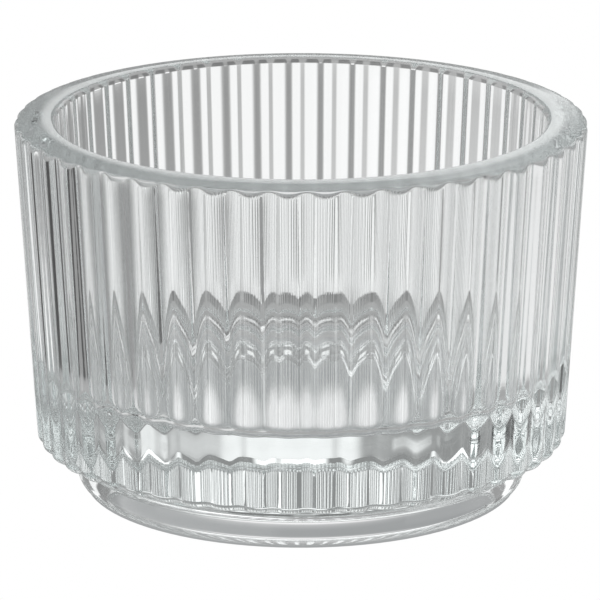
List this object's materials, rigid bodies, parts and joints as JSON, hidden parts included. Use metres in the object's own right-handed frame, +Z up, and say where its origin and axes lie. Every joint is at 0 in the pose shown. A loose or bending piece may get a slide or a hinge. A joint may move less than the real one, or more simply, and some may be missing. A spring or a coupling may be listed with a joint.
{
  "type": "tealight holder",
  "caption": "Low clear pressed-glass tealight cup with upright convex ribs round the outside, a smooth rounded rim, a smooth well, a thick base and a set-back round foot.",
  "frame": {"origin": "centre of the surface that the foot stands on", "axes": "+Z up, along the cup's axis of revolution; a rib crest faces +Y and another -Y, and a valley faces +X and another -X"},
  "size_m": [0.076, 0.076, 0.0505],
  "materials": {
    "clear_glass": "clear, glossy, fire-polished"
  },
  "bodies": {
    "root": {"glass_holder": "clear_glass"}
  },
  "joints": []
}
